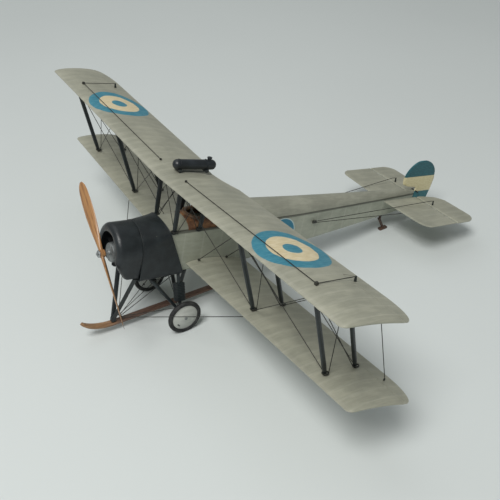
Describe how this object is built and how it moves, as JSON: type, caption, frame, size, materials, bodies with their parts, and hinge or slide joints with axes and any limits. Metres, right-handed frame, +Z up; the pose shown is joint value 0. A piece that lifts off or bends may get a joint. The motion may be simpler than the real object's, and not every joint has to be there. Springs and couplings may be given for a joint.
{
  "type": "biplane scale model",
  "caption": "Two-bay biplane display model with rotary engine, wire rigging, landing skid, turning wheels and propeller, and moving rudder, elevators and ailerons.",
  "frame": {"origin": "centre of the bounding box at the floor on which the two wheels and the tail skid stand", "axes": "+X towards the pilot's left wing tip, +Y towards the tail, +Z up from the floor; the nose points along -Y and is pitched up by 11.2 degrees"},
  "size_m": [0.1524, 0.1284, 0.047],
  "materials": {
    "doped_fabric": "satin aluminium dope over ribs",
    "deck_fabric": "satin dope, slightly olive",
    "coaming_leather": "satin brown",
    "cowl_black": "satin charcoal black",
    "engine_metal": "satin grey metal",
    "propeller_wood": "satin laminated wood",
    "skid_wood": "satin red-brown wood",
    "tail_skid_metal": "satin brown",
    "rudder_paint": "satin blue and cream bands",
    "tyre_rubber": "matte",
    "rigging_wire": "satin dark",
    "strut_black": "satin blue-black"
  },
  "bodies": {
    "airframe": {"fuselage_shell": "doped_fabric", "scuttle_deck": "deck_fabric", "front_coaming": "coaming_leather", "rear_coaming": "deck_fabric", "rear_deck": "deck_fabric", "cockpit_seats": "coaming_leather", "cowl_front": "cowl_black", "cowl_rear": "cowl_black", "upper_wing_centre": "doped_fabric", "upper_wing_left": "doped_fabric", "upper_wing_right": "doped_fabric", "lower_wing_left": "doped_fabric", "lower_wing_right": "doped_fabric", "strut_inner_front_left": "strut_black", "strut_inner_front_right": "strut_black", "strut_inner_rear_left": "strut_black", "strut_inner_rear_right": "strut_black", "strut_outer_front_left": "strut_black", "strut_outer_front_right": "strut_black", "strut_outer_rear_left": "strut_black", "strut_outer_rear_right": "strut_black", "cabane_strut_front_left": "strut_black", "cabane_strut_front_right": "strut_black", "cabane_strut_rear_left": "strut_black", "cabane_strut_rear_right": "strut_black", "gravity_tank": "strut_black", "tank_cradle": "strut_black", "landing_skid": "skid_wood", "front_skid_struts": "strut_black", "rear_skid_struts": "strut_black", "axle": "engine_metal", "undercarriage_leg_left": "strut_black", "undercarriage_leg_right": "strut_black", "tailplane_left": "doped_fabric", "tailplane_right": "doped_fabric", "tail_skid_bracket": "strut_black", "wing_rigging_left": "rigging_wire", "wing_rigging_right": "rigging_wire", "cabane_rigging": "rigging_wire", "undercarriage_rigging": "rigging_wire", "aileron_cable_left": "rigging_wire", "aileron_cable_right": "rigging_wire", "tail_cables_left": "rigging_wire", "tail_cables_right": "rigging_wire"},
    "propeller": {"propeller": "propeller_wood", "rotary_engine": "engine_metal"},
    "wheel_left": {"tyre_left": "tyre_rubber", "wheel_disc_left": "doped_fabric"},
    "wheel_right": {"tyre_right": "tyre_rubber", "wheel_disc_right": "doped_fabric"},
    "rudder": {"rudder": "rudder_paint"},
    "elevator_left": {"elevator_left": "doped_fabric"},
    "elevator_right": {"elevator_right": "doped_fabric"},
    "upper_aileron_left": {"upper_aileron_left": "doped_fabric"},
    "upper_aileron_right": {"upper_aileron_right": "doped_fabric"},
    "lower_aileron_left": {"lower_aileron_left": "doped_fabric"},
    "lower_aileron_right": {"lower_aileron_right": "doped_fabric"},
    "aileron_link_left": {"aileron_link_left": "rigging_wire"},
    "aileron_link_right": {"aileron_link_right": "rigging_wire"},
    "tail_skid": {"tail_skid": "tail_skid_metal"}
  },
  "joints": [
    {"name": "propeller_spin", "type": "hinge", "parent": "airframe", "child": "propeller", "pos_m": [0, -0.05577, 0.02588], "axis": [0, 0.981, -0.1942], "continuous": true},
    {"name": "wheel_left_spin", "type": "hinge", "parent": "airframe", "child": "wheel_left", "pos_m": [0.01083, -0.0386, 0.00493], "axis": [1, 0, 0], "continuous": true},
    {"name": "wheel_right_spin", "type": "hinge", "parent": "airframe", "child": "wheel_right", "pos_m": [-0.01083, -0.0386, 0.00493], "axis": [1, 0, 0], "continuous": true},
    {"name": "rudder_turn", "type": "hinge", "parent": "airframe", "child": "rudder", "pos_m": [0, 0.05519, 0.011], "axis": [0, 0.1942, 0.981], "range_deg": [-25, 25]},
    {"name": "elevator_left_turn", "type": "hinge", "parent": "airframe", "child": "elevator_left", "pos_m": [0.01181, 0.05443, 0.01002], "axis": [1, 0, 0], "range_deg": [-20, 20]},
    {"name": "elevator_right_turn", "type": "hinge", "parent": "airframe", "child": "elevator_right", "pos_m": [-0.01181, 0.05443, 0.01002], "axis": [1, 0, 0], "range_deg": [-20, 20]},
    {"name": "upper_aileron_left_turn", "type": "hinge", "parent": "airframe", "child": "upper_aileron_left", "pos_m": [0.06556, -0.02426, 0.04307], "axis": [0.9991, 0.0084, 0.0423], "range_deg": [-15, 15]},
    {"name": "upper_aileron_right_turn", "type": "hinge", "parent": "airframe", "child": "upper_aileron_right", "pos_m": [-0.06556, -0.02426, 0.04307], "axis": [0.9991, -0.0084, -0.0423], "range_deg": [-15, 15]},
    {"name": "lower_aileron_left_turn", "type": "hinge", "parent": "airframe", "child": "lower_aileron_left", "pos_m": [0.06556, -0.01992, 0.01822], "axis": [0.9983, 0.0113, 0.0573], "range_deg": [-15, 15]},
    {"name": "lower_aileron_right_turn", "type": "hinge", "parent": "airframe", "child": "lower_aileron_right", "pos_m": [-0.06556, -0.01992, 0.01822], "axis": [0.9983, -0.0113, -0.0573], "range_deg": [-15, 15]},
    {"name": "aileron_link_left_swing", "type": "hinge", "parent": "upper_aileron_left", "child": "aileron_link_left", "pos_m": [0.06778, -0.02298, 0.04219], "axis": [0.9991, 0.0084, 0.0423], "range_deg": [-15, 15]},
    {"name": "aileron_link_right_swing", "type": "hinge", "parent": "upper_aileron_right", "child": "aileron_link_right", "pos_m": [-0.06778, -0.02298, 0.04219], "axis": [0.9991, -0.0084, -0.0423], "range_deg": [-15, 15]},
    {"name": "tail_skid_swivel", "type": "hinge", "parent": "airframe", "child": "tail_skid", "pos_m": [0, 0.04109, 0.00487], "axis": [0, 0, 1], "range_deg": [-20, 20]}
  ],
  "couplings": [
    {"joint": "elevator_right_turn", "follows": "elevator_left_turn", "ratio": 1},
    {"joint": "lower_aileron_left_turn", "follows": "upper_aileron_left_turn", "ratio": 1},
    {"joint": "upper_aileron_right_turn", "follows": "upper_aileron_left_turn", "ratio": -1},
    {"joint": "lower_aileron_right_turn", "follows": "upper_aileron_left_turn", "ratio": -1},
    {"joint": "aileron_link_left_swing", "follows": "upper_aileron_left_turn", "ratio": -1},
    {"joint": "aileron_link_right_swing", "follows": "upper_aileron_left_turn", "ratio": 1}
  ]
}
